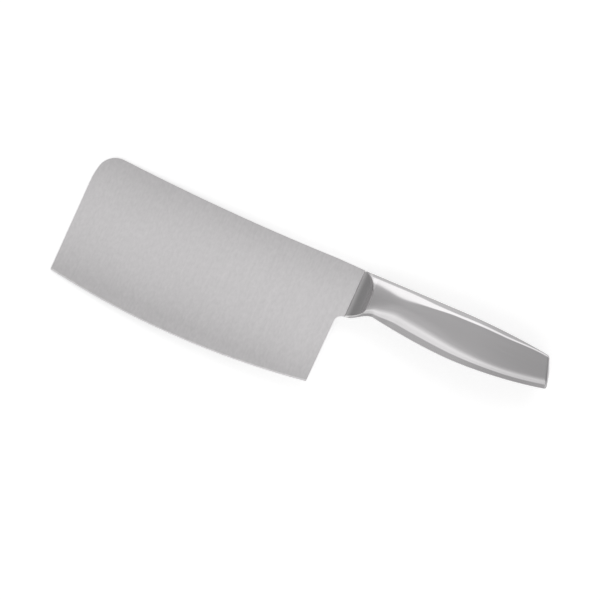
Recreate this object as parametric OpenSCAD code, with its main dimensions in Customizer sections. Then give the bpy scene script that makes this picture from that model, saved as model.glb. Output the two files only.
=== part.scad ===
// Meat cleaver in stainless steel, lying on its side.
// Drawn in the knife's own axes: X from the front edge to the butt, Y from the
// cutting edge to the spine, Z through the thickness, and the heel corner of the
// edge at the origin. placed() then tips it the little that it needs to rest with
// the front of the blade and the swell of the handle on the ground, z = 0.

/* [Blade] */
// Front edge to heel edge
blade_len = 170.1; // [160:1:180]
// Heel corner of the edge up to the spine
heel_h = 76.2; // [72:0.5:80]
// Thickness at the spine
blade_t = 2.5; // [2:0.1:3.4]
// Thickness just behind the sharpened bevel
edge_t = 0.6; // [0.4:0.05:0.9]
// Angle of the sharpened bevel to the middle plane
bevel_a = 18; // [14:1:24]
// Radius of the curved cutting edge
belly_r = 546; // [500:1:700]
// Lowest point of the cutting edge, in front of the heel
belly_x = 91.5; // [84:1:100]
// Radius of the hollow spine
spine_r = 1600; // [1200:50:2400]
// Deepest point of the hollow spine, in front of the heel
spine_x = 72.5; // [60:1:85]
// Straight stretch of the spine in front of the heel
spine_flat = 12; // [6:1:20]
// Radius of the long curve that leads from the front edge into the front corner
brow_r = 49; // [40:1:80]
// Height where that curve leaves the front edge
brow_y = 56.6; // [50:0.2:60]
// Radius of the front corner of the spine
toe_r = 12.4; // [8:0.1:20]
// Lean of the heel edge towards the handle, at its upper end
heel_lean = 0.4; // [0:0.05:0.8]
// Blade steel behind the heel edge, up to the bolster
shoulder = 5.1; // [4:0.1:6]
// Radius in the corner between heel edge and shoulder
notch_r = 4.6; // [3:0.1:5]

/* [Stub tang] */
// Length of the tongue that the bolster takes in
stub_len = 11; // [8:0.5:12]
// Height of the tongue
stub_h = 17; // [12:0.5:18]
// Thickness of the tongue
stub_t = 1.2; // [1:0.05:1.4]
// Play of the tongue in its slot
stub_gap = 0.1; // [0.05:0.01:0.12]

/* [Bolster] */
// Height where bolster and blade meet
bolster_h = 31; // [29:0.5:33]
// Thickness of the lip where bolster and blade meet
lip_t = 2.9; // [2.8:0.05:3.6]
// Radius of the hollow ground into each cheek
scoop_r = 12.3; // [11.8:0.1:13]
// Start of that hollow, ahead of the bolster's front face
scoop_lead = 0.4; // [0.2:0.1:1]
// Radius of the round wall that ends the hollow, at the cheek's full thickness
wall_r = 21.8; // [20:0.1:24]
// Centre of that wall, in front of the heel edge
wall_x = 6.1; // [5:0.1:8]
// Centre of that wall, below the spine at the heel
wall_drop = 15.5; // [14:0.1:17]
// Slope of that wall away from upright
wall_a = 15; // [10:1:20]
// Thickness over the two cheeks
cheek_t = 15.8; // [15:0.1:17]
// End of the bolster's outside, where the handle shells begin
bolster_x = 25.4; // [23:0.5:27]
// Length of the spigot inside the shells
spigot_len = 8; // [6:0.5:10]

/* [Grip] */
// Highest point of the back of the handle, above the spine at the heel
crown_rise = 1.4; // [1:0.1:2.4]
// Lengthwise place of that highest point
crown_x = 74.5; // [66:1:80]
// Drop of the back from there to the butt
butt_drop = 2.6; // [2:0.1:4]
// Underside at the narrow neck, below the spine at the heel
neck_drop = 24.2; // [23.5:0.1:25]
// Lengthwise place of the neck
neck_x = 20.9; // [19:0.2:22]
// Underside at the swell, below the spine at the heel
swell_drop = 28.4; // [27.5:0.1:30]
// Lengthwise place of the swell
swell_x = 70.5; // [64:1:76]
// Underside at the butt, below the spine at the heel
butt_up = 20.6; // [19:0.1:22]
// Thickness of the grip at its thickest
grip_t = 21; // [20:0.1:23]
// Thickness at the butt
butt_t = 17.6; // [17:0.1:20]
// Lengthwise place of the thickest section
thick_x = 80.5; // [74:1:86]
// Tilt of the narrow band beside the back, away from the main face
back_a = 40; // [36:1:46]
// Tilt of the bevel below that band, away from the main face
upper_a = 29; // [26:1:32]
// Tilt of the belly facet, away from the main face
belly_a = 37; // [32:1:42]
// Wall of the handle shells
wall = 1.2; // [0.9:0.05:1.5]
// Play between the shells and what they slip over
shell_gap = 0.15; // [0.1:0.01:0.25]

/* [Butt cap] */
// Lengthwise place where the shells end, at mid height
cap_x = 128.7; // [126:0.2:130]
// Length of the cap outside the shells
cap_len = 2.4; // [2:0.1:3.5]
// Rounding of the cap's rim
cap_r = 1.7; // [1:0.1:2]
// Swell of the cap's end face
cap_bulge = 0.9; // [0.4:0.1:1.4]
// Lean of the butt away from square
butt_a = 19; // [12:0.5:22]
// Length of the plug inside the shells
plug_len = 6; // [5:0.5:8]

/* [Tang rod and balance weight] */
// Diameter of the rod
rod_d = 6; // [5:0.1:7]
// Play around the rod in every bore
rod_gap = 0.1; // [0.05:0.01:0.15]
// Depth of the rod in the bolster
rod_in = 11; // [9:0.5:12]
// Depth of the rod in the butt cap
rod_out = 4; // [3:0.5:4.5]
// Height of the rod, below the spine at the heel
rod_drop = 12.6; // [12:0.1:13.2]
// Diameter of the fixed collar in front of the weight
collar_d = 9.5; // [8.5:0.1:11]
// Length of that collar
collar_len = 2; // [1.5:0.1:3]
// Diameter of the balance weight
weight_d = 14; // [12:0.1:15]
// Length of the balance weight
weight_len = 28; // [20:1:30]
// Front face of the balance weight
weight_x = 84; // [80:1:86]
// Outside diameter of the lock washer
washer_d = 11.4; // [10.8:0.1:13]
// Thickness of the lock washer
washer_t = 1.4; // [1:0.1:2]
// Nut across its flats
nut_af = 10; // [9.6:0.1:11]
// Thickness of the nut
nut_t = 5; // [4:0.1:6]

/* [Hidden] */
blade_color = [0.76, 0.76, 0.76];
polish_color = [0.7, 0.7, 0.71];
plain_color = [0.5, 0.5, 0.52];
zinc_color = [0.6, 0.61, 0.62];
// The lowest point of the edge, and the height of the belly arc's centre
edge_y = sqrt(belly_r * belly_r - belly_x * belly_x) - belly_r;
belly_cy = edge_y + belly_r;
// The spine at its deepest, and the centres of the spine's and the front's long curves
spine_low = heel_h - pow(spine_x - spine_flat, 2) / (2 * spine_r);
spine_cy = spine_low + spine_r;
spine_c = [-spine_x, spine_cy];
brow_c = [brow_r - blade_len, brow_y];
// The front corner's centre: its circle touches both curves
between = norm(spine_c - brow_c);
up = (spine_c - brow_c) / between;
toe_up = (pow(brow_r - toe_r, 2) - pow(spine_r + toe_r, 2) + pow(between, 2)) / (2 * between);
toe_out = sqrt(pow(brow_r - toe_r, 2) - pow(toe_up, 2));
toe_c = brow_c + toe_up * up + toe_out * [-up[1], up[0]];
to_front = (toe_c - brow_c) / (brow_r - toe_r);
to_spine = (spine_c - toe_c) / (spine_r + toe_r);
// Where the front's long curve runs into the corner, lowest when the cleaver lies down
front = toe_c + toe_r * to_front;
notch_y = heel_h - bolster_h;
edge_tip = 0.08;
// Half the blade's thickness grows evenly from edge_y to wedge_y
wedge_y = heel_h + 3;
// Middle of the stub tang
stub_y = heel_h - 15;
// Middle heights at the seat of the shells and at the butt
butt_y = heel_h + crown_rise - butt_drop;
lean_y = (butt_y + heel_h - butt_up) / 2;
rod_y = heel_h - rod_drop;
rod_x0 = bolster_x + spigot_len - rod_in;
rod_x1 = cap_x - plug_len + rod_out;
steps = 4;

// Straight and eased blends between a and b
function mix(a, b, t) = a + (b - a) * t;
function ease(x0, x1, x) =
    let (t = min(1, max(0, (x - x0) / (x1 - x0)))) t * t * (3 - 2 * t);

// Half the blade's thickness at height y
function half_blade(y) = mix(edge_t, blade_t, (y - edge_y) / (wedge_y - edge_y)) / 2;

// Back of the handle: two bows that meet at the crown
function back_y(x) =
    heel_h + crown_rise - (x < crown_x
        ? (crown_rise + 0.1) * pow((crown_x - x) / (crown_x - shoulder), 1.1)
        : butt_drop * pow((x - crown_x) / (cap_x - crown_x), 2.4));

// Underside: an S from the blade to the neck, then two bows that meet at the swell
function under_y(x) =
    x < neck_x
        ? notch_y + (bolster_h - neck_drop)
            * pow(sin(90 * max(0, x - shoulder) / (neck_x - shoulder)), 2)
        : heel_h - swell_drop + (x < swell_x
            ? (swell_drop - neck_drop) * pow((swell_x - x) / (swell_x - neck_x), 1.7)
            : (swell_drop - butt_up) * pow((x - swell_x) / (cap_x + 2 - swell_x), 1.75));

// Half the thickness over the cheeks and the grip
function half_t(x) =
    x < thick_x
        ? grip_t / 2 - (grip_t - cheek_t) / 2 * pow((thick_x - x) / (thick_x - 15), 3)
        : grip_t / 2 - (grip_t - butt_t) / 2 * pow((x - thick_x) / (cap_x - thick_x), 2);

// Height of the narrow band under the back, of the bevel below it, of the belly
// facet and of the soft round above that facet, at x
function band_h(x) =
    mix(1.8, 2.6, ease(34, 60, x)) - 0.4 * ease(66, 90, x) - 1.75 * ease(99, 130, x);
function bevel_h(x) = mix(4.9, 1.5, ease(29, 69, x)) - 0.7 * ease(72, 126, x);
function belly_h(x) =
    mix(mix(1.2, 1.7, ease(shoulder, 15, x)), 3.9, ease(18, 36, x)) - 1.4 * ease(46, 116, x);
function round_h(x) = mix(3.2, 6.8, ease(13, 35, x)) - 3 * ease(46, 100, x);

// The corners of half a cross-section at x as [height, depth], from the middle of
// the back to the middle of the underside: the back, a narrow band, a bevel, a flat
// main face, a soft round, the belly facet and the underside. In front of the cheeks
// it thins towards the blade.
function corners(x) = let (
    u = ease(14, 38, x),
    w = ease(shoulder - 3, 13, x),
    f = pow(min(1, (x - shoulder) / 10.4), 1.9),
    t = back_y(x),
    b = under_y(x),
    h = half_t(max(15, x)),
    r = round_h(x),
    c = b + belly_h(x),
    band = band_h(x),
    bevel = mix(3, bevel_h(x), u),
    bevel_z = h - mix(1.5, 0.5, u),
    band_z = mix(1.7, bevel_z - bevel * tan(upper_a), w),
    belly_z = mix(1.2, h - 0.34 * r, f)
) [
    [t, 0],
    [t, max(0.9, band_z - band * tan(back_a))],
    [t - band, band_z],
    [t - band - bevel, mix(3.2, bevel_z, w)],
    [mix(heel_h - 11, b + 0.62 * (t - b), u), h - 0.4 * (1 - u)],
    [c + 1.6 * r, h],
    [c + 0.6 * r, h - 0.07 * r],
    [c, belly_z],
    [b, max(0.9, belly_z - belly_h(x) * tan(belly_a))],
    [b, 0]
];

// The share of its two sides that the rounding of each corner takes
function softness(x) = [
    0,
    0.3,
    0.3,
    mix(0.9, 0.2, ease(34, 50, x)),
    0.9,
    0.9,
    mix(0.5, 0.9, ease(15, 22, x)),
    mix(0.5, 0.2, ease(20, 27, x)),
    0.3,
    0
];

// One corner p between its neighbours a and c, rounded by a quadratic curve that
// starts and ends at the share s of half of each side
function rounded(a, p, c, s) = [
    for (k = [0 : steps])
        let (
            t = k / steps,
            p0 = mix(p, a, s / 2),
            p1 = mix(p, c, s / 2)
        )
        (1 - t) * (1 - t) * p0 + 2 * t * (1 - t) * p + t * t * p1
];

// Half a cross-section at x, drawn in towards the middle by the depth d
function half_ring(x, d) = let (
    c = corners(x),
    s = softness(x),
    m = (c[0][0] + c[9][0]) / 2,
    ky = 1 - 2 * d / (c[0][0] - c[9][0]),
    kz = 1 - d / half_t(x),
    all = concat(
        [c[0]],
        [for (i = [1 : 8]) each rounded(c[i - 1], c[i], c[i + 1], s[i])],
        [c[9]]
    )
) [for (p = all) [m + (p[0] - m) * ky, p[1] * kz]];

// The cross-sections lean more and more towards the butt
function lean(x, y) = -tan(butt_a) * ease(bolster_x + 20, cap_x, x) * (y - lean_y);
function in_space(x, p, side) = [x + lean(x, p[0]), p[0], side * p[1]];

// Evenly spaced places from a to b, n steps
function places(a, b, n) = [for (i = [0 : n]) a + (b - a) * i / n];

// A solid through closed rings that all hold the same number of points
module skin(rings) {
    n = len(rings);
    m = len(rings[0]);
    middle_a = [0, 0, 0] + sum_of(rings[0]) / m;
    middle_b = [0, 0, 0] + sum_of(rings[n - 1]) / m;
    points = concat([for (r = rings) each r], [middle_a, middle_b]);
    sides = [
        for (i = [0 : n - 2], j = [0 : m - 1])
            let (
                a = i * m + j,
                b = i * m + (j + 1) % m
            )
            each [[a, b, b + m], [a, b + m, a + m]]
    ];
    ends = [
        for (j = [0 : m - 1])
            each [
                [(j + 1) % m, j, n * m],
                [(n - 1) * m + j, (n - 1) * m + (j + 1) % m, n * m + 1]
            ]
    ];
    polyhedron(points = points, faces = concat(sides, ends), convexity = 6);
}
function sum_of(v, i = 0) = i < len(v) - 1 ? v[i] + sum_of(v, i + 1) : v[i];

// A whole ring at x, drawn in by d: the right half down, the left half back up
function whole_ring(x, d) = let (
    h = half_ring(x, d),
    n = len(h)
) concat(
    [for (i = [0 : n - 1]) in_space(x, h[i], 1)],
    [for (i = [n - 2 : -1 : 1]) in_space(x, h[i], -1)]
);

// The ring of one thin-walled half at x: out along the outside, back along the inside
function shell_ring(x, side) = let (
    outer = [for (p = half_ring(x, 0)) in_space(x, p, side)],
    inner = [for (p = half_ring(x, wall)) in_space(x, p, side)],
    n = len(outer),
    ring = concat(outer, [for (i = [n - 1 : -1 : 0]) inner[i]])
) side > 0 ? ring : [for (i = [len(ring) - 1 : -1 : 0]) ring[i]];

// Blade

module blade_outline() {
    fillet_r = min(notch_r, shoulder - heel_lean);
    difference() {
        union() {
            intersection() {
                translate([-belly_x, belly_cy])
                    circle(r = belly_r, $fn = 720);
                union() {
                    translate([-blade_len, edge_y - 1])
                        square([blade_len - spine_flat, heel_h + 10 - edge_y]);
                    polygon([
                        [-spine_flat - 1, edge_y - 1],
                        [0, edge_y - 1],
                        [0, 0],
                        [heel_lean, notch_y - fillet_r],
                        [heel_lean, heel_h],
                        [-spine_flat - 1, heel_h]
                    ]);
                }
            }
            translate([-1, notch_y])
                square([shoulder + 1, bolster_h]);
            difference() {
                translate([-1, notch_y - fillet_r])
                    square([heel_lean + fillet_r + 1, fillet_r + 1]);
                translate([heel_lean + fillet_r, notch_y - fillet_r])
                    circle(r = fillet_r, $fn = 64);
            }
        }
        translate(spine_c)
            circle(r = spine_r, $fn = 1440);
        difference() {
            translate([-blade_len - 1, brow_y])
                square([toe_r + 1, heel_h]);
            translate(brow_c)
                circle(r = brow_r, $fn = 360);
        }
        difference() {
            translate(toe_c)
                polygon(3 * toe_r * [[0, 0], to_front, to_front + to_spine, to_spine]);
            translate(toe_c)
                circle(r = toe_r, $fn = 96);
        }
    }
}

// Both faces run straight from the spine to the edge
module blade_wedge() {
    low = half_blade(edge_y - 2);
    high = half_blade(wedge_y + 5);
    translate([-blade_len - 5, 0, 0])
        rotate([90, 0, 90])
            linear_extrude(height = blade_len + shoulder + 10)
                polygon([
                    [edge_y - 2, -low],
                    [wedge_y + 5, -high],
                    [wedge_y + 5, high],
                    [edge_y - 2, low]
                ]);
}

// The steel that sharpening takes off one side, a ring around the belly arc's centre
module sharpening() {
    inside = 3;
    beyond = 1;
    translate([-belly_x, belly_cy, 0])
        rotate_extrude($fn = 720)
            polygon([
                [belly_r - inside, edge_tip / 2 + inside * tan(bevel_a)],
                [belly_r + beyond, edge_tip / 2 - beyond * tan(bevel_a)],
                [belly_r + beyond, 4],
                [belly_r - inside, 4]
            ]);
}

module blade() {
    color(blade_color)
        union() {
            difference() {
                intersection() {
                    translate([0, 0, -5])
                        linear_extrude(height = 10)
                            blade_outline();
                    blade_wedge();
                }
                sharpening();
                mirror([0, 0, 1])
                    sharpening();
            }
            translate([shoulder - 1, stub_y - stub_h / 2, -stub_t / 2])
                cube([stub_len + 1, stub_h, stub_t]);
        }
}

// Bolster: outside and spigot in one skin, the hollows, the slot and the socket cut

module bolster_outside() {
    outside = [for (x = places(shoulder, bolster_x, 9)) whole_ring(x, 0)];
    spigot_d = wall + shell_gap;
    end = bolster_x + spigot_len;
    spigot = [for (x = places(bolster_x, end, 2)) whole_ring(x, spigot_d)];
    difference() {
        skin(concat(outside, spigot));
        hollow();
        mirror([0, 0, 1])
            hollow();
    }
}

// One hollow: a ground trough that a round, steep wall ends above mid height
module hollow() {
    low = cheek_t / 2;
    start = shoulder - scoop_lead;
    // Height above the notch up to which the trough runs out without a wall
    open_h = bolster_h - wall_drop - 3;
    intersection() {
        translate([start, heel_h + 10, lip_t / 2 + scoop_r])
            rotate([90, 0, 0])
                cylinder(r = scoop_r, h = bolster_h + 20, $fn = 96);
        union() {
            translate([-wall_x, heel_h - wall_drop, 0])
                cylinder(
                    r1 = wall_r - low * tan(wall_a),
                    r2 = wall_r + low * tan(wall_a),
                    h = 2 * low,
                    $fn = 180
                );
            translate([start - scoop_r - 1, notch_y - 5, 0.5])
                cube([2 * scoop_r + 2, open_h + 5, 2 * low - 1]);
        }
    }
}

module bolster() {
    slot_t = stub_t + 2 * stub_gap;
    slot_h = stub_h + 2 * stub_gap;
    color(polish_color)
        difference() {
            bolster_outside();
            translate([shoulder - 1, stub_y - slot_h / 2, -slot_t / 2])
                cube([stub_len + 1 + stub_gap, slot_h, slot_t]);
            translate([rod_x0, rod_y, 0])
                rotate([0, 90, 0])
                    cylinder(d = rod_d + 2 * rod_gap, h = rod_in + 5, $fn = 48);
        }
}

// Handle shells: two stamped halves that meet in the middle plane

module handle_shell(side) {
    color(polish_color)
        skin([for (x = places(bolster_x, cap_x, 26)) shell_ring(x, side)]);
}

// Butt cap: a plug inside the shells, a flush rim and a swelling end face

module butt_cap() {
    plug_d = wall + shell_gap;
    plug = [for (x = places(cap_x - plug_len, cap_x, 2)) whole_ring(x, plug_d)];
    side = [whole_ring(cap_x, 0), whole_ring(cap_x + cap_len - cap_r, 0)];
    rim = [
        for (a = [22.5 : 22.5 : 67.5])
            let (x = cap_x + cap_len - cap_r)
            whole_ring(x + cap_r * sin(a), cap_r * (1 - cos(a)))
    ];
    face = [
        for (r = [0, 0.3, 0.6, 0.85])
            let (
                x = cap_x + cap_len,
                d = cap_r + r * (butt_t / 2 - cap_r)
            )
            whole_ring(x + cap_bulge * (1 - pow(1 - r, 2)), d)
    ];
    color(polish_color)
        difference() {
            skin(concat(plug, side, rim, face));
            translate([cap_x - plug_len - 5, rod_y, 0])
                rotate([0, 90, 0])
                    cylinder(d = rod_d + 2 * rod_gap, h = rod_out + 5, $fn = 48);
        }
}

// Inside: rod, weight, washer and nut on one line

module on_rod(x) {
    translate([x, rod_y, 0])
        rotate([0, 90, 0])
            children();
}

module tang_rod() {
    color(plain_color)
        union() {
            on_rod(rod_x0)
                cylinder(d = rod_d, h = rod_x1 - rod_x0, $fn = 48);
            on_rod(weight_x - collar_len)
                cylinder(d = collar_d, h = collar_len, $fn = 48);
        }
}

module bored(d, len, sides) {
    difference() {
        cylinder(d = d, h = len, $fn = sides);
        translate([0, 0, -1])
            cylinder(d = rod_d + 2 * rod_gap, h = len + 2, $fn = 48);
    }
}

module balance_weight() {
    color(plain_color)
        on_rod(weight_x)
            bored(weight_d, weight_len, 64);
}

module lock_washer() {
    color(zinc_color)
        on_rod(weight_x + weight_len)
            bored(washer_d, washer_t, 64);
}

module tang_nut() {
    color(zinc_color)
        on_rod(weight_x + weight_len + washer_t)
            bored(nut_af / cos(30), nut_t, 6);
}

// Resting pose: tipped until the front of the blade and the grip touch one plane

toe_t = half_blade(front[1]);
tips = [for (x = places(bolster_x, cap_x, 52)) atan((half_t(x) - toe_t) / (x - front[0]))];
tip = max(tips);
// The rounded lower corner of the leaning butt reaches furthest back
knife_end = cap_x + cap_len + tan(butt_a) * (butt_y - heel_h + butt_up) / 2 - 0.45;

module placed() {
    translate([
        (blade_len - knife_end) / 2,
        -(edge_y + heel_h + crown_rise) / 2,
        -front[0] * sin(tip) + toe_t * cos(tip)
    ])
        rotate([0, -tip, 0])
            children();
}

placed() blade();
placed() bolster();
placed() handle_shell(1);  // handle_shell_right
placed() handle_shell(-1);  // handle_shell_left
placed() butt_cap();
placed() tang_rod();
placed() balance_weight();
placed() lock_washer();
placed() tang_nut();
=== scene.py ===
"""A stainless steel meat cleaver that lies on its side on a pale table.

The blade stays the CAD blade. Bolster, handle shells and butt cap are worked out
again from the same sizes, on finer grids, so that their ground faces, hollows and
creases are smooth. Lengths are in millimetres in the knife's own axes (X from the
front edge to the butt, Y from the cutting edge to the spine, Z through the
thickness, heel corner at the origin) until place() turns them into metres in the
row frame.
"""
import math

import bpy
import numpy as np
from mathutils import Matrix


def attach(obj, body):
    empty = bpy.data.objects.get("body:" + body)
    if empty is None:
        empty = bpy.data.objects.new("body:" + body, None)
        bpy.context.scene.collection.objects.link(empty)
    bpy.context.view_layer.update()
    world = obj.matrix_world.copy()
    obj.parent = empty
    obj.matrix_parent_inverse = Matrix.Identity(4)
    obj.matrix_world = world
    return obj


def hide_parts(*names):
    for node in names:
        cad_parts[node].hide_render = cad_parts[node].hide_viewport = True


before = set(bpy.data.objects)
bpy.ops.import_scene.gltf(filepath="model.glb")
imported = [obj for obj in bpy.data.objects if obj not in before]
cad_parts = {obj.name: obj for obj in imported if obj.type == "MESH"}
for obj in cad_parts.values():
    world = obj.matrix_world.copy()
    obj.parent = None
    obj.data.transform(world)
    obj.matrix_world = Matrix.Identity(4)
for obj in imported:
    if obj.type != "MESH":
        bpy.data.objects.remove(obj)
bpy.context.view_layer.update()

# --------------------------------------------------------------------------- sizes

# Blade
BLADE_LEN = 170.1
HEEL_H = 76.2
BLADE_T = 2.5
EDGE_T = 0.6
BELLY_R = 546.0
BELLY_X = 91.5
SPINE_R = 1600.0
SPINE_X = 72.5
SPINE_FLAT = 12.0
BROW_R = 49.0
BROW_Y = 56.6
TOE_R = 12.4
SHOULDER = 5.1
# Bolster
BOLSTER_H = 31.0
LIP_T = 2.9
LIP_SLOPE = 1.2
SCOOP_R = 12.3
SCOOP_LEAD = 0.4
SCOOP_SOFT = 0.4
SCOOP_END = 17.0
# Width in millimetres of the band along the hollows' rims where a highlight is painted
RIM_PAINTED_HIGHLIGHT_WIDTH = 0.45
WALL_R = 21.8
WALL_X = 6.1
WALL_DROP = 15.5
WALL_A = 15.0
WALL_BELOW = 3.0
WALL_SOFT = 0.6
UNCUT = 60.0
CHEEK_T = 15.8
BOLSTER_X = 25.4
# Grip
CROWN_RISE = 1.4
CROWN_X = 74.5
BUTT_DROP = 2.6
NECK_DROP = 24.2
NECK_X = 20.9
SWELL_DROP = 28.4
SWELL_X = 70.5
BUTT_UP = 20.6
GRIP_T = 21.0
BUTT_T = 17.6
THICK_X = 80.5
BACK_A = 40.0
UPPER_A = 29.0
BELLY_A = 37.0
WALL = 1.2
# Butt cap
CAP_X = 128.7
CAP_LEN = 2.4
CAP_R = 1.7
CAP_BULGE = 0.9
CAP_INSET = 0.45
BUTT_A = 19.0

EDGE_Y = math.sqrt(BELLY_R**2 - BELLY_X**2) - BELLY_R
SPINE_CY = HEEL_H - (SPINE_X - SPINE_FLAT) ** 2 / (2 * SPINE_R) + SPINE_R
NOTCH_Y = HEEL_H - BOLSTER_H
WEDGE_Y = HEEL_H + 3
LEAN_Y = (HEEL_H + CROWN_RISE - BUTT_DROP + HEEL_H - BUTT_UP) / 2


# ------------------------------------------------------------ the handle's surface

def mix(a, b, t):
    """The straight blend from a at t 0 to b at t 1."""
    return a + (b - a) * t


def ease(x0, x1, x):
    """0 before x0 and 1 after x1, with the cubic 3t^2 - 2t^3 between them."""
    t = np.clip((x - x0) / (x1 - x0), 0, 1)
    return t * t * (3 - 2 * t)


def half_blade(y):
    """Half the blade's thickness: even growth from the edge to the spine."""
    return mix(EDGE_T, BLADE_T, (y - EDGE_Y) / (WEDGE_Y - EDGE_Y)) / 2


def back_y(x):
    """The back of the handle: powers of the distance to the crown, one each side."""
    front = (CROWN_RISE + 0.1) * (np.maximum(CROWN_X - x, 0) / (CROWN_X - SHOULDER)) ** 1.1
    rear = BUTT_DROP * (np.maximum(x - CROWN_X, 0) / (CAP_X - CROWN_X)) ** 2.4
    return HEEL_H + CROWN_RISE - np.where(x < CROWN_X, front, rear)


def under_y(x):
    """The underside: a squared sine up to the neck, then two powers that meet at the swell."""
    turn = math.pi / 2 * np.clip((x - SHOULDER) / (NECK_X - SHOULDER), 0, 1)
    rise = NOTCH_Y + (BOLSTER_H - NECK_DROP) * np.sin(turn) ** 2
    front = (SWELL_DROP - NECK_DROP) * (np.maximum(SWELL_X - x, 0) / (SWELL_X - NECK_X)) ** 1.7
    rear = (SWELL_DROP - BUTT_UP) * (np.maximum(x - SWELL_X, 0) / (CAP_X + 2 - SWELL_X)) ** 1.75
    grip = HEEL_H - SWELL_DROP + np.where(x < SWELL_X, front, rear)
    return np.where(x < NECK_X, rise, grip)


def half_t(x):
    """Half the thickness: a cubic in front of the thickest place, a parabola behind it."""
    front = (GRIP_T - CHEEK_T) / 2 * ((THICK_X - x) / (THICK_X - 15)) ** 3
    rear = (GRIP_T - BUTT_T) / 2 * ((x - THICK_X) / (CAP_X - THICK_X)) ** 2
    return GRIP_T / 2 - np.where(x < THICK_X, front, rear)


def band_h(x):
    """Height of the narrow band under the back."""
    front = mix(1.8, 2.6, ease(34, 60, x))
    return front - 0.4 * ease(66, 90, x) - 1.75 * ease(99, 130, x)


def bevel_h(x):
    """Height of the bright bevel below that band."""
    return mix(4.9, 1.5, ease(29, 69, x)) - 0.7 * ease(72, 126, x)


def belly_h(x):
    """Height of the facet along the underside."""
    front = mix(mix(1.2, 1.7, ease(SHOULDER, 15, x)), 3.9, ease(18, 36, x))
    return front - 1.4 * ease(46, 116, x)


def round_h(x):
    """Height of the soft round above that facet."""
    return mix(3.2, 6.8, ease(13, 35, x)) - 3 * ease(46, 100, x)


def corners(x):
    """The ten corners of half a cross-section at each x, as an array (x, corner, [Y, Z]):
    the back, a narrow band, a bevel, a flat main face, a soft round, the belly facet
    and the underside. In front of the cheeks it thins towards the blade."""
    u, w = ease(14, 38, x), ease(SHOULDER - 3, 13, x)
    f = np.clip((x - SHOULDER) / 10.4, 0, 1) ** 1.9
    t, b, h, r = back_y(x), under_y(x), half_t(np.maximum(15, x)), round_h(x)
    c = b + belly_h(x)
    band, bevel = band_h(x), mix(3, bevel_h(x), u)
    bevel_z = h - mix(1.5, 0.5, u)
    band_z = mix(1.7, bevel_z - bevel * math.tan(math.radians(UPPER_A)), w)
    back_z = np.maximum(0.9, band_z - band * math.tan(math.radians(BACK_A)))
    belly_z = mix(1.2, h - 0.34 * r, f)
    under_z = np.maximum(0.9, belly_z - belly_h(x) * math.tan(math.radians(BELLY_A)))
    zero = np.zeros_like(x)
    rows = [
        (t, zero),
        (t, back_z),
        (t - band, band_z),
        (t - band - bevel, mix(3.2, bevel_z, w)),
        (mix(HEEL_H - 11, b + 0.62 * (t - b), u), h - 0.4 * (1 - u)),
        (c + 1.6 * r, h),
        (c + 0.6 * r, h - 0.07 * r),
        (c, belly_z),
        (b, under_z),
        (b, zero),
    ]
    return np.stack([np.stack(row, -1) for row in rows], 1)


def softness(x):
    """The share of its two sides that the rounding of each corner takes."""
    one = np.ones_like(x)
    return np.stack([
        0 * one, 0.3 * one, 0.3 * one,
        mix(0.9, 0.2, ease(34, 50, x)), 0.9 * one, 0.9 * one,
        mix(0.5, 0.9, ease(15, 22, x)), mix(0.5, 0.2, ease(20, 27, x)),
        0.3 * one, 0 * one,
    ], 1)


def half_ring(x, depth=0.0, arc=6):
    """Half a cross-section at each x, from the middle of the back to the middle of the
    underside. Each corner P between A and C becomes the quadratic curve
    (1-t)^2 P0 + 2t(1-t) P + t^2 P1, with P0 and P1 at half its softness along its two
    sides, and each straight side gets points close to its ends, so that shading keeps
    the flats flat. depth draws the ring in towards its middle."""
    c, s = corners(x), softness(x)
    t = np.linspace(0, 1, arc + 1)[None, :, None]
    sides = np.array([0.06, 0.25, 0.5, 0.75, 0.94])[None, :, None]
    pieces, last = [c[:, :1]], c[:, :1]
    for i in range(1, 9):
        share = s[:, i, None, None] / 2
        p = c[:, i:i + 1]
        p0 = mix(p, c[:, i - 1:i], share)
        p1 = mix(p, c[:, i + 1:i + 2], share)
        pieces.append(mix(last, p0, sides))
        pieces.append((1 - t) ** 2 * p0 + 2 * t * (1 - t) * p + t * t * p1)
        last = p1
    pieces.append(mix(last, c[:, 9:], sides))
    pieces.append(c[:, 9:])
    ring = np.concatenate(pieces, 1)
    middle = (c[:, 0, 0] + c[:, 9, 0]) / 2
    ky = 1 - 2 * depth / (c[:, 0, 0] - c[:, 9, 0])
    kz = 1 - depth / half_t(x)
    y = middle[:, None] + (ring[..., 0] - middle[:, None]) * ky[:, None]
    return np.stack([y, ring[..., 1] * kz[:, None]], -1)


def in_space(x, ring, side=1.0):
    """Cross-sections as points [X, Y, Z]. They lean more and more towards the butt."""
    lean = -math.tan(math.radians(BUTT_A)) * ease(BOLSTER_X + 20, CAP_X, x)
    across = x[:, None] + lean[:, None] * (ring[..., 0] - LEAN_Y)
    return np.stack([across, ring[..., 0], side * ring[..., 1]], -1)


def whole_ring(x, ring):
    """The right half down and the left half back up, as one closed ring."""
    right = in_space(x, ring)
    left = in_space(x, ring, -1.0)[:, -2:0:-1]
    return np.concatenate([right, left], 1)


def soft_least(a, b, k):
    """The lesser of a and b, with the corner between them rounded over k."""
    t = np.clip(0.5 + 0.5 * (b - a) / k, 0, 1)
    return mix(b, a, t) - k * t * (1 - t)


def scoop_z(x, y):
    """Half the thickness that the hollow leaves at x and y: a circle tangent to the
    lip, or above mid height the round wall's cone where that stands higher. UNCUT is more
    than any section has, so behind the circle nothing is taken away."""
    run = x - SHOULDER + SCOOP_LEAD
    arc = np.sqrt(np.maximum(SCOOP_R**2 - run**2, 0))
    trough = np.where(run < SCOOP_R, LIP_T / 2 + SCOOP_R - arc, UNCUT)
    radius = np.hypot(x + WALL_X, y - (HEEL_H - WALL_DROP))
    wall = CHEEK_T / 2 + (radius - WALL_R) / math.tan(math.radians(WALL_A))
    wall = np.where(y > HEEL_H - WALL_DROP - WALL_BELOW, wall, 0.0)
    return -soft_least(-trough, -wall, WALL_SOFT)


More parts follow.
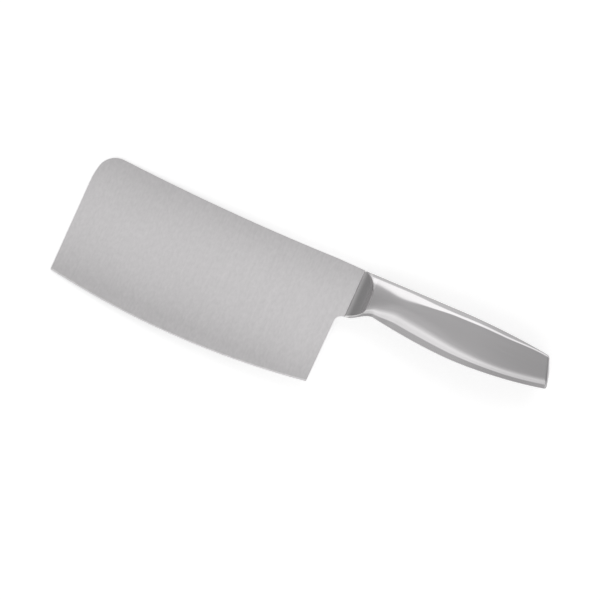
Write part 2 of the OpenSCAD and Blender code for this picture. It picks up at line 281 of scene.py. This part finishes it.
# ------------------------------------------------------------------- resting place

# The front corner's circle touches the front's long curve from inside and the spine's
# circle from outside. FRONT is where the long curve runs into the corner.
spine_c = np.array([-SPINE_X, SPINE_CY])
brow_c = np.array([BROW_R - BLADE_LEN, BROW_Y])
between = math.dist(spine_c, brow_c)
up = (spine_c - brow_c) / between
toe_up = ((BROW_R - TOE_R) ** 2 - (SPINE_R + TOE_R) ** 2 + between**2) / (2 * between)
toe_out = math.sqrt((BROW_R - TOE_R) ** 2 - toe_up**2)
FRONT = brow_c + (toe_up * up + toe_out * np.array([-up[1], up[0]])) * BROW_R / (BROW_R - TOE_R)
TOE_T = half_blade(FRONT[1])
# The steepest line from the front corner to the grip decides how far the cleaver tips
contact = np.linspace(BOLSTER_X, CAP_X, 53)
TIP = float(np.arctan((half_t(contact) - TOE_T) / (contact - FRONT[0])).max())
# The lower corner of the leaning butt reaches furthest back, less what its rounding takes
BUTT_HALF = (CROWN_RISE - BUTT_DROP + BUTT_UP) / 2
KNIFE_END = CAP_X + CAP_LEN + math.tan(math.radians(BUTT_A)) * BUTT_HALF - CAP_INSET
SHIFT = np.array([
    (BLADE_LEN - KNIFE_END) / 2,
    -(EDGE_Y + HEEL_H + CROWN_RISE) / 2,
    -FRONT[0] * math.sin(TIP) + TOE_T * math.cos(TIP),
])


def place(p):
    """Knife axes in millimetres to row frame in metres: tipped about Y, then shifted."""
    c, s = math.cos(TIP), math.sin(TIP)
    x, y, z = p[..., 0], p[..., 1], p[..., 2]
    return (np.stack([x * c - z * s, y, x * s + z * c], -1) + SHIFT) / 1000


# ------------------------------------------------------------------- mesh building

# Edges that turn by more than this many degrees are shaded as edges
SHARP_FROM = 38.0
# How many cross-sections carry the hollow, the rest of the bolster, a shell, and the
# rim and the end face of the cap
HOLLOW_RINGS, NECK_RINGS, SHELL_RINGS, CAP_RINGS, FACE_RINGS = 100, 24, 160, 12, 14


def surface_piece(name, rings, material, node):
    """A closed piece through rings of equal count, each end one flat face, that stands
    for a CAD node."""
    n, m = rings.shape[:2]
    i, j = np.meshgrid(np.arange(n - 1), np.arange(m), indexing="ij")
    a, b = i * m + j, i * m + (j + 1) % m
    quads = np.stack([a, b, b + m, a + m], -1).reshape(-1, 4)
    ends = [list(range(m))[::-1], list(range((n - 1) * m, n * m))]
    mesh = bpy.data.meshes.new(name)
    points = place(rings.reshape(-1, 3))
    mesh.from_pydata(points.tolist(), [], quads.tolist() + ends)
    mesh.polygons.foreach_set("use_smooth", np.ones(len(mesh.polygons), bool))
    mesh.set_sharp_from_angle(angle=math.radians(SHARP_FROM))
    mesh.materials.append(material)
    mesh.update()
    piece = bpy.data.objects.new(name, mesh)
    bpy.context.scene.collection.objects.link(piece)
    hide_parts(node)
    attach(piece, "root")
    return piece


def make_bolster(material):
    """The outside from the lip to the shells, thinned by the hollow in each cheek, and by
    a straight slope that starts at the lip with the blade's own thickness. The attribute
    rim is 1 where hollow and outside meet and falls off like a bell curve; the handle
    material paints a highlight there."""
    x = np.concatenate([
        np.linspace(SHOULDER, SCOOP_END, HOLLOW_RINGS),
        np.linspace(SCOOP_END, BOLSTER_X, NECK_RINGS)[1:],
    ])
    ring = half_ring(x)
    hollow = scoop_z(x[:, None], ring[..., 0])
    past_lip = ease(SHOULDER + 1, SHOULDER + 3, x)[:, None]
    rim = np.exp(-((ring[..., 1] - hollow) / RIM_PAINTED_HIGHLIGHT_WIDTH) ** 2) * past_lip
    ring[..., 1] = soft_least(ring[..., 1], hollow, SCOOP_SOFT)
    lip = half_blade(ring[..., 0]) + LIP_SLOPE * (x[:, None] - SHOULDER)
    ring[..., 1] = np.minimum(ring[..., 1], lip)
    ring[:, 0, 1] = ring[:, -1, 1] = 0
    piece = surface_piece("bolster_skin", whole_ring(x, ring)[:, ::-1], material,
                          "bolster")
    both = np.concatenate([rim, rim[:, -2:0:-1]], 1)[:, ::-1]
    piece.data.attributes.new("rim", "FLOAT", "POINT").data.foreach_set("value", both.ravel())
    return piece


def make_shell(name, side, material, node):
    """One thin-walled half: the outside down, then the inside back up."""
    x = np.linspace(BOLSTER_X, CAP_X, SHELL_RINGS)
    outer = in_space(x, half_ring(x), side)
    inner = in_space(x, half_ring(x, WALL), side)[:, ::-1]
    rings = np.concatenate([outer, inner], 1)
    if side > 0:
        rings = rings[:, ::-1]
    return surface_piece(name, rings, material, node)


def make_butt_cap(material):
    """A flush side, a quarter-round rim and an end face that is domed by one parabola up
    and down and another across, multiplied."""
    turn = np.linspace(0, math.pi / 2, CAP_RINGS)
    x_rim = CAP_X + CAP_LEN - CAP_R + CAP_R * np.sin(turn)
    d_rim = CAP_R * (1 - np.cos(turn))
    r = np.linspace(0, 0.97, FACE_RINGS)[1:]
    x = np.concatenate([[CAP_X], x_rim, np.full_like(r, CAP_X + CAP_LEN)])
    depth = np.concatenate([[0.0], d_rim, CAP_R + r * (BUTT_T / 2 - CAP_R)])
    rings = np.concatenate([
        whole_ring(x[k:k + 1], half_ring(x[k:k + 1], depth[k])) for k in range(len(x))
    ])
    y, z = rings[..., 1], rings[..., 2]
    face_y, face_z = y[CAP_RINGS], z[CAP_RINGS]
    up_down = (2 * y - face_y.max() - face_y.min()) / np.ptp(face_y)
    across = z / face_z.max()
    share = np.concatenate([[0.0], np.sin(turn) ** 2, np.ones_like(r)])
    dome = np.clip(1 - up_down**2, 0, 1) * np.clip(1 - across**2, 0, 1)
    rings[..., 0] += CAP_BULGE * share[:, None] * dome
    return surface_piece("butt_cap_skin", rings[:, ::-1], material,
                         "butt_cap")


# ----------------------------------------------------------------------- materials

# The darkest and the lightest tone of each finish
BLADE_STEEL = (0.625, 0.612, 0.618), (0.945, 0.926, 0.935)
HANDLE_STEEL = (0.604, 0.592, 0.598), (0.985, 0.965, 0.975)
INNER_STEEL = (0.30, 0.30, 0.31), (0.42, 0.42, 0.43)
FASTENER_STEEL = (0.42, 0.43, 0.44), (0.52, 0.53, 0.54)
TABLE_WHITE = (0.86, 0.86, 0.86), (0.88, 0.88, 0.88)
# In metres of the row frame: the painted highlight band on the blade is brightest at this Y
# and falls off over this height, and the painted heel highlight rises from this X up to the
# middle, to the last value
PAINTED_HIGHLIGHT_Y = 0.004
PAINTED_HIGHLIGHT_HALF = 0.038
PAINTED_GAIN_START_X = -0.15
PAINTED_HEEL_GAIN = 0.16


def math_node(nodes, links, how, a, b):
    """One Math node with a number or another node's output on each of its two inputs."""
    node = nodes.new("ShaderNodeMath")
    node.operation = how
    for socket, value in zip(node.inputs, (a, b)):
        if isinstance(value, (int, float)):
            socket.default_value = value
        else:
            links.new(value, socket)
    return node.outputs["Value"]


class Finish:
    """A material and the few node steps that its finish is built from."""

    def __init__(self, name):
        self.material = bpy.data.materials.new(name)
        self.material.use_nodes = True
        self.nodes = self.material.node_tree.nodes
        self.links = self.material.node_tree.links
        self.shader = self.nodes["Principled BSDF"]
        self.place = self.nodes.new("ShaderNodeTexCoord").outputs["Object"]

    def set(self, **values):
        for key, value in values.items():
            self.shader.inputs[key.replace("_", " ")].default_value = value

    def link(self, out, to):
        self.links.new(out, to)

    def stretched(self, scale):
        """Object coordinates, stretched."""
        node = self.nodes.new("ShaderNodeMapping")
        node.inputs["Scale"].default_value = scale
        self.link(self.place, node.inputs["Vector"])
        return node.outputs["Vector"]

    def noise(self, scale, stretch=(1, 1, 1), detail=4.0, roughness=0.5):
        node = self.nodes.new("ShaderNodeTexNoise")
        node.inputs["Scale"].default_value = scale
        node.inputs["Detail"].default_value = detail
        node.inputs["Roughness"].default_value = roughness
        self.link(self.stretched(stretch), node.inputs["Vector"])
        return node.outputs["Fac"]

    def span(self, value, low, high, from_low=0.0, from_high=1.0):
        """Carries a value from one range to another."""
        node = self.nodes.new("ShaderNodeMapRange")
        self.link(value, node.inputs["Value"])
        for key, number in (("From Min", from_low), ("From Max", from_high),
                            ("To Min", low), ("To Max", high)):
            node.inputs[key].default_value = number
        return node.outputs["Result"]

    def math(self, how, a, b):
        return math_node(self.nodes, self.links, how, a, b)

    def colour(self, value, tones):
        """Colours the shader between the dark and the light tone, by a value of 0 to 1."""
        dark, light = tones
        node = self.nodes.new("ShaderNodeMix")
        node.data_type = "RGBA"
        self.link(value, node.inputs["Factor"])
        node.inputs["A"].default_value = (*dark, 1)
        node.inputs["B"].default_value = (*light, 1)
        self.link(node.outputs["Result"], self.shader.inputs["Base Color"])

    def roughness(self, value):
        self.link(value, self.shader.inputs["Roughness"])

    def bump(self, height, distance, strength=1.0):
        node = self.nodes.new("ShaderNodeBump")
        node.inputs["Distance"].default_value = distance
        node.inputs["Strength"].default_value = strength
        self.link(height, node.inputs["Height"])
        self.link(node.outputs["Normal"], self.shader.inputs["Normal"])


def brushed_blade():
    """Satin steel with a fine grain that runs from the edge to the spine, broken up by a
    soft mottling, with a painted highlight band along the middle of the blade that fades
    towards the edge and the spine, and a painted highlight that grows towards the heel."""
    f = Finish("brushed_blade_steel")
    f.set(Metallic=1.0)
    grain = f.noise(1.0, (2600, 34, 60), detail=3.0, roughness=0.6)
    streak = f.noise(1.0, (420, 7, 20), detail=3.0, roughness=0.5)
    mottle = f.noise(1.0, (620, 330, 20), detail=2.0, roughness=0.5)
    cloud = f.noise(22.0, (1.0, 1.6, 1.0), detail=2.0)
    lines = f.math("ADD", f.math("MULTIPLY", grain, 0.5), f.math("MULTIPLY", streak, 0.5))
    spots = f.math("ADD", f.span(lines, -0.32, 0.32), f.span(mottle, -0.42, 0.42))
    parts = f.nodes.new("ShaderNodeSeparateXYZ")
    f.link(f.place, parts.inputs["Vector"])
    # Painted highlight: a band across the middle of the blade and a rise towards the heel, added
    # to the grain and mottling
    off = f.math("SUBTRACT", parts.outputs["Y"], PAINTED_HIGHLIGHT_Y)
    painted_highlight_band = f.span(f.math("MULTIPLY", off, off), 1.0, 0.0, 0.0, PAINTED_HIGHLIGHT_HALF**2)
    painted_heel_highlight = f.span(parts.outputs["X"], 0.0, PAINTED_HEEL_GAIN, PAINTED_GAIN_START_X, 0.0)
    bright = f.math("ADD", f.math("ADD", painted_highlight_band, painted_heel_highlight), spots)
    bright = f.math("ADD", bright, f.span(cloud, -0.08, 0.08))
    f.colour(f.span(bright, 0.0, 1.0, -0.5, 1.5), BLADE_STEEL)
    f.roughness(f.math("ADD", f.span(lines, -0.06, 0.06), f.span(cloud, 0.43, 0.49)))
    f.bump(lines, 0.00001, 0.6)
    return f.material


def satin_handle():
    """Fine satin steel, with faint lines along the grip, soft clouds of wear, and a painted
    highlight on the rims of the bolster's hollows."""
    f = Finish("satin_handle_steel")
    f.set(Metallic=1.0)
    lines = f.noise(1.0, (30, 1500, 1500), detail=3.0, roughness=0.6)
    cloud = f.noise(35.0, detail=3.0)
    rim = f.nodes.new("ShaderNodeAttribute")
    rim.attribute_name = "rim"
    # The rim attribute paints a highlight into the base colour along the rims of the hollows
    grain_and_painted_rim_highlight = f.math("ADD", f.span(lines, 0.0, 0.14), f.math("MULTIPLY", rim.outputs["Fac"], 0.9))
    f.colour(grain_and_painted_rim_highlight, HANDLE_STEEL)
    f.roughness(f.math("ADD", f.span(lines, -0.03, 0.03), f.span(cloud, 0.17, 0.23)))
    f.bump(lines, 0.000004, 0.5)
    return f.material


def turned_steel():
    """Plain turned steel of the pieces inside the handle."""
    f = Finish("turned_inner_steel")
    f.set(Metallic=1.0)
    rings = f.noise(1.0, (2200, 20, 20), detail=2.0)
    f.colour(rings, INNER_STEEL)
    f.roughness(f.span(rings, 0.36, 0.5))
    f.bump(rings, 0.00002)
    return f.material


def plain_hardware():
    """Plain steel of nut and washer, a little lighter and duller."""
    f = Finish("fastener_steel")
    f.set(Metallic=1.0)
    grain = f.noise(900.0, detail=3.0)
    f.colour(grain, FASTENER_STEEL)
    f.roughness(f.span(grain, 0.32, 0.46))
    f.bump(grain, 0.00001)
    return f.material


def dress(node, material):
    """Gives a CAD node that stays its material."""
    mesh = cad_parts[node].data
    mesh.materials.clear()
    mesh.materials.append(material)


blade_steel = brushed_blade()
handle_steel = satin_handle()
inner_steel = turned_steel()
fastener_steel = plain_hardware()

dress("blade", blade_steel)
dress("tang_rod", inner_steel)
dress("balance_weight", inner_steel)
dress("lock_washer", fastener_steel)
dress("tang_nut", fastener_steel)
make_bolster(handle_steel)
make_shell("shell_right_skin", 1.0, handle_steel, "handle_shell_right")
make_shell("shell_left_skin", -1.0, handle_steel, "handle_shell_left")
make_butt_cap(handle_steel)

# ------------------------------------------------------------- table, light, camera

# Half the table's width in metres, and what lifts it to white for the camera
TABLE_HALF = 6.0
TABLE_LIFT = 0.49
# The table as the steel mirrors it: the darker level from this X forward, the brighter
# one from the middle back
TABLE_MIRRORED = 0.28, 0.8
TABLE_DARK_X = -0.1


def make_table():
    """A white table that runs to the horizon. It is lifted to white for the camera, and
    the steel mirrors it as a plain tone that is dark beyond the front of the blade."""
    mesh = bpy.data.meshes.new("table")
    r = TABLE_HALF
    mesh.from_pydata([(-r, -r, 0), (r, -r, 0), (r, r, 0), (-r, r, 0)], [], [(0, 1, 2, 3)])
    table = bpy.data.objects.new("table", mesh)
    bpy.context.scene.collection.objects.link(table)
    f = Finish("white_table")
    f.set(Roughness=0.9, Specular_IOR_Level=0.0)
    speck = f.noise(60.0, detail=2.0)
    f.colour(speck, TABLE_WHITE)
    f.bump(speck, 0.00002)
    rays = f.nodes.new("ShaderNodeLightPath")
    lift = f.nodes.new("ShaderNodeEmission")
    f.link(f.math("MULTIPLY", rays.outputs["Is Camera Ray"], TABLE_LIFT), lift.inputs["Strength"])
    lifted = f.nodes.new("ShaderNodeAddShader")
    f.link(f.shader.outputs["BSDF"], lifted.inputs[0])
    f.link(lift.outputs["Emission"], lifted.inputs[1])
    parts = f.nodes.new("ShaderNodeSeparateXYZ")
    f.link(f.place, parts.inputs["Vector"])
    mirrored = f.nodes.new("ShaderNodeEmission")
    level = f.span(parts.outputs["X"], *TABLE_MIRRORED, TABLE_DARK_X, 0.0)
    f.link(level, mirrored.inputs["Strength"])
    choose = f.nodes.new("ShaderNodeMixShader")
    f.link(rays.outputs["Is Glossy Ray"], choose.inputs["Fac"])
    f.link(lifted.outputs["Shader"], choose.inputs[1])
    f.link(mirrored.outputs["Emission"], choose.inputs[2])
    f.link(choose.outputs["Shader"], f.nodes["Material Output"].inputs["Surface"])
    mesh.materials.append(f.material)
    return table


# The studio's brightness by the angle from straight above, in degrees: towards the
# spine side (plus) and the edge side (minus), and towards the butt (plus) and the
# front (minus), where a dark flag stands.
ACROSS = [(-90, 0.62), (-64, 0.64), (-50, 1.20), (-28, 1.30), (-16, 0.90), (-6, 0.62),
          (0, 0.58), (12, 0.60), (28, 0.74), (42, 1.50), (62, 1.60), (76, 0.80), (90, 0.74)]
ALONG = [(-90, 0.62), (-55, 0.52), (-38, 0.52), (-20, 0.80), (-11, 0.97), (-6, 1.00),
         (-2, 1.00), (5, 0.82), (12, 0.76), (34, 0.60), (90, 0.50)]
# ACROSS goes above 1, so its ramp holds shares of this level
PEAK = 2.0


def ramp(nodes, links, value, stops, peak):
    """A smooth level read from stops of (value, level), as a share of peak."""
    low, high = stops[0][0], stops[-1][0]
    scaled = nodes.new("ShaderNodeMapRange")
    scaled.inputs["From Min"].default_value = low
    scaled.inputs["From Max"].default_value = high
    links.new(value, scaled.inputs["Value"])
    node = nodes.new("ShaderNodeValToRGB")
    node.color_ramp.interpolation = "EASE"
    elements = node.color_ramp.elements
    inner = [elements.new((at - low) / (high - low)) for at, _ in stops[1:-1]]
    for element, (_, level) in zip([elements[0], *inner, elements[-1]], stops):
        element.color = (level / peak, level / peak, level / peak, 1)
    links.new(scaled.outputs["Result"], node.inputs["Fac"])
    return node.outputs["Color"]


def make_world():
    """White to the camera, and to the object a plain dome with soft bright strips on
    both long sides and a dark flag in front."""
    world = bpy.data.worlds.new("studio")
    world.use_nodes = True
    bpy.context.scene.world = world
    nodes, links = world.node_tree.nodes, world.node_tree.links

    def angle(part):
        """The angle in degrees whose sine is this part of the direction."""
        sine = math_node(nodes, links, "ARCSINE", part, 0.0)
        return math_node(nodes, links, "MULTIPLY", sine, 180 / math.pi)

    direction = nodes.new("ShaderNodeTexCoord")
    parts = nodes.new("ShaderNodeSeparateXYZ")
    links.new(direction.outputs["Generated"], parts.inputs["Vector"])
    across = ramp(nodes, links, angle(parts.outputs["Y"]), ACROSS, PEAK)
    along = ramp(nodes, links, angle(parts.outputs["X"]), ALONG, 1.0)
    level = math_node(nodes, links, "MULTIPLY", across, along)
    dome = nodes["Background"]
    dome.inputs["Color"].default_value = (1, 1, 1, 1)
    links.new(math_node(nodes, links, "MULTIPLY", level, PEAK), dome.inputs["Strength"])
    white = nodes.new("ShaderNodeBackground")
    white.inputs["Color"].default_value = (1, 1, 1, 1)
    rays = nodes.new("ShaderNodeLightPath")
    choose = nodes.new("ShaderNodeMixShader")
    links.new(rays.outputs["Is Camera Ray"], choose.inputs["Fac"])
    links.new(dome.outputs["Background"], choose.inputs[1])
    links.new(white.outputs["Background"], choose.inputs[2])
    links.new(choose.outputs["Shader"], nodes["World Output"].inputs["Surface"])


# The photograph's view: what is in its middle, in knife axes, how far it is turned in
# degrees, its scale there, its width in pixels, and the lens in millimetres
VIEW_MIDDLE = -23.54, 43.54
VIEW_TURN = 24.3
PIXELS_PER_MM = 1.6465
PICTURE = 600
LENS, SENSOR = 150.0, 36.0


def make_camera():
    """Straight above, turned so that the blade points to the upper left, and as high as
    the scale asks for."""
    data = bpy.data.cameras.new("camera")
    data.lens, data.sensor_width = LENS, SENSOR
    camera = bpy.data.objects.new("camera", data)
    bpy.context.scene.collection.objects.link(camera)
    middle = place(np.array([*VIEW_MIDDLE, 0.0]))
    across = PICTURE / PIXELS_PER_MM / 1000
    camera.location = (middle[0], middle[1], middle[2] + across * LENS / SENSOR)
    camera.rotation_euler = (0, 0, math.radians(VIEW_TURN))
    bpy.context.scene.camera = camera


make_table()
make_world()
make_camera()
bpy.context.scene.view_settings.view_transform = "Standard"
